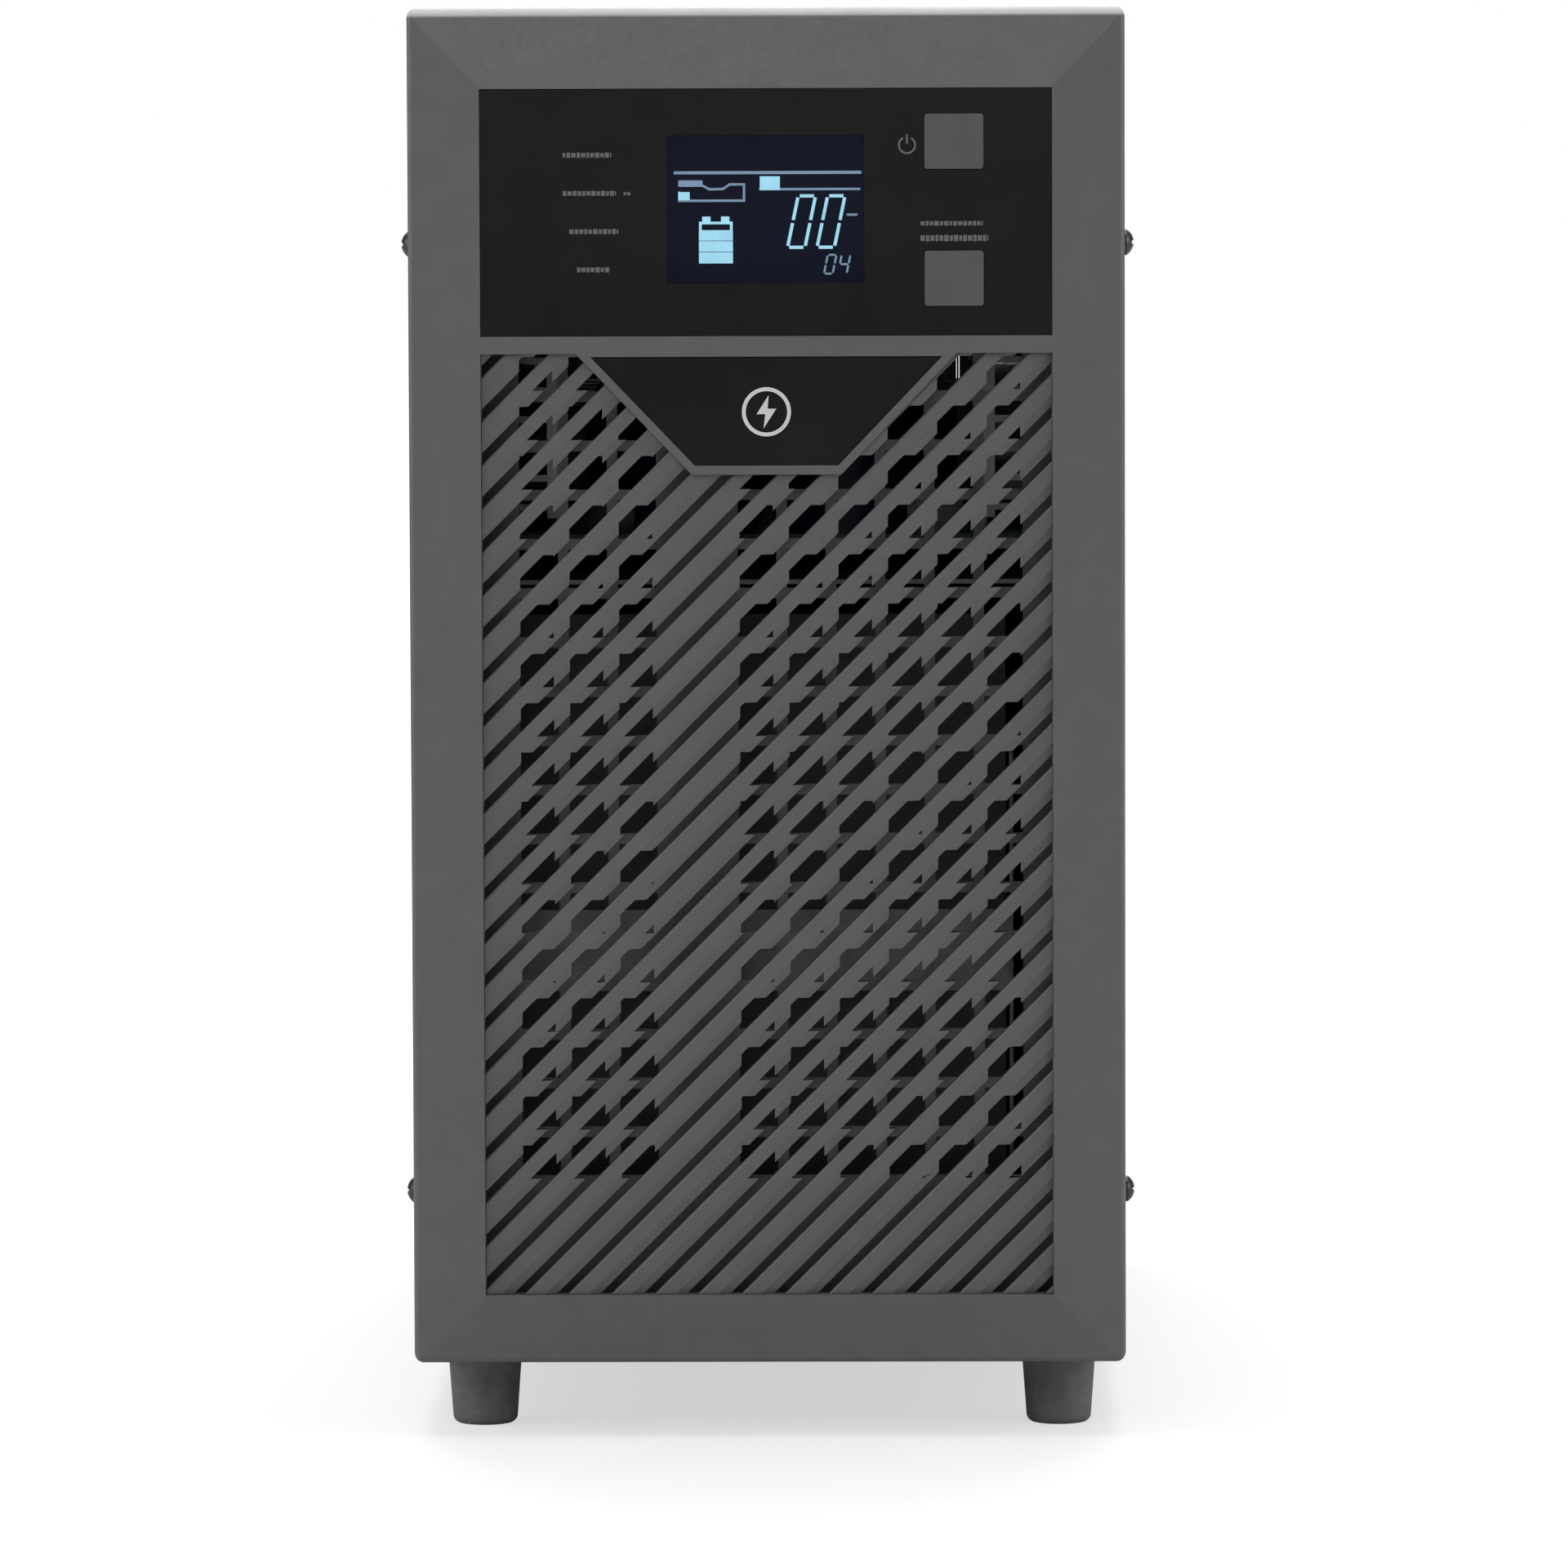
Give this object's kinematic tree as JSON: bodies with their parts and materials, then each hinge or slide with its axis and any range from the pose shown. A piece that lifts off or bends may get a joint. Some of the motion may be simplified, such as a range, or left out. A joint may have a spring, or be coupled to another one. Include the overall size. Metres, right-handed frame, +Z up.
{
  "type": "uninterruptible power supply",
  "caption": "Tower uninterruptible power supply: sheet-metal case, slatted front bezel with display and buttons, battery blocks, rear fans and mains sockets, on rubber feet.",
  "frame": {"origin": "centre of the object's footprint, on the floor under the feet", "axes": "+Z up; the display and grille face -Y; +Y to the rear sockets; +X to the right when seen from the front"},
  "size_m": [0.1956, 0.42, 0.381],
  "materials": {
    "bezel_plastic": "fine textured dark grey moulding",
    "panel_gloss": "high gloss black",
    "lcd_glass": "smoked clear lens",
    "lcd_face": "dark blue liquid-crystal display with pale blue segments",
    "board_green": "solder-masked fibreglass board",
    "button_plastic": "satin dark grey cap",
    "black_plastic": "satin black moulding",
    "lens_plastic": "smoked lens, unlit",
    "emblem_silver": "bright silver",
    "case_paint": "fine textured dark grey powder coat",
    "zinc_steel": "zinc-plated sheet",
    "screw_black": "black zinc",
    "heatsink_alloy": "extruded, unpainted",
    "capacitor_sleeve": "shrink sleeve",
    "copper_winding": "enamelled copper wire",
    "relay_plastic": "moulded case",
    "transformer_core": "ferrite core with a taped winding",
    "ribbon_grey": "flat cable",
    "battery_case": "moulded battery case",
    "lead_red": "insulated lead",
    "foot_rubber": "dark grey rubber",
    "fan_plastic": "glass-filled black moulding",
    "guard_steel": "plated wire",
    "outlet_plastic": "satin black moulding",
    "breaker_white": "white push rod",
    "port_shell": "tinned shell",
    "connector_plastic": "moulded connector housing",
    "stud_brass": "brass"
  },
  "bodies": {
    "case": {"front_bezel": "bezel_plastic", "slat_grille": "bezel_plastic", "display_panel": "panel_gloss", "lcd_window": "lcd_glass", "lcd_module": "lcd_face", "display_board": "board_green", "button_switches": "black_plastic", "light_pipes": "lens_plastic", "badge_plate": "panel_gloss", "badge_emblem": "emblem_silver", "front_sheet": "case_paint", "chassis_base": "zinc_steel", "case_cover": "case_paint", "rear_panel": "case_paint", "middle_shelf": "zinc_steel", "cover_screws": "screw_black", "rear_screws": "screw_black", "foot_front_left": "foot_rubber", "foot_front_right": "foot_rubber", "foot_rear_left": "foot_rubber", "foot_rear_right": "foot_rubber", "foot_screws": "zinc_steel", "main_board": "board_green", "board_standoffs": "zinc_steel", "heatsinks": "heatsink_alloy", "power_transistors": "black_plastic", "bus_capacitors": "capacitor_sleeve", "power_chokes": "copper_winding", "relays": "relay_plastic", "control_board": "board_green", "transformer": "transformer_core", "display_ribbon": "ribbon_grey", "battery_cage": "zinc_steel", "battery_1": "battery_case", "battery_2": "battery_case", "battery_3": "battery_case", "battery_4": "battery_case", "battery_5": "battery_case", "battery_6": "battery_case", "battery_7": "battery_case", "battery_8": "battery_case", "battery_harness": "lead_red", "fan_frame_left": "fan_plastic", "fan_frame_right": "fan_plastic", "fan_guards": "guard_steel", "mains_inlet": "black_plastic", "breaker_body": "black_plastic", "outlet_1": "outlet_plastic", "outlet_2": "outlet_plastic", "outlet_3": "outlet_plastic", "outlet_4": "outlet_plastic", "data_ports": "port_shell", "slot_cover": "case_paint", "battery_connector": "connector_plastic", "earth_stud": "stud_brass"},
    "power_button": {"power_button": "button_plastic"},
    "select_button": {"select_button": "button_plastic"},
    "fan_left": {"fan_rotor_left": "fan_plastic"},
    "fan_right": {"fan_rotor_right": "fan_plastic"},
    "breaker_button": {"breaker_button": "breaker_white"}
  },
  "joints": [
    {"name": "power_press", "type": "slide", "parent": "case", "child": "power_button", "axis": [0, 1, 0], "range_m": [0, 0.001], "stiffness_N_per_m": 900, "springref_m": -0.0006},
    {"name": "select_press", "type": "slide", "parent": "case", "child": "select_button", "axis": [0, 1, 0], "range_m": [0, 0.001], "stiffness_N_per_m": 900, "springref_m": -0.0006},
    {"name": "fan_left_spin", "type": "hinge", "parent": "case", "child": "fan_left", "pos_m": [-0.043, 0.19, 0.329], "axis": [0, 1, 0], "continuous": true},
    {"name": "fan_right_spin", "type": "hinge", "parent": "case", "child": "fan_right", "pos_m": [0.043, 0.19, 0.329], "axis": [0, 1, 0], "continuous": true},
    {"name": "breaker_trip", "type": "slide", "parent": "case", "child": "breaker_button", "axis": [0, 1, 0], "range_m": [0, 0.003]}
  ]
}
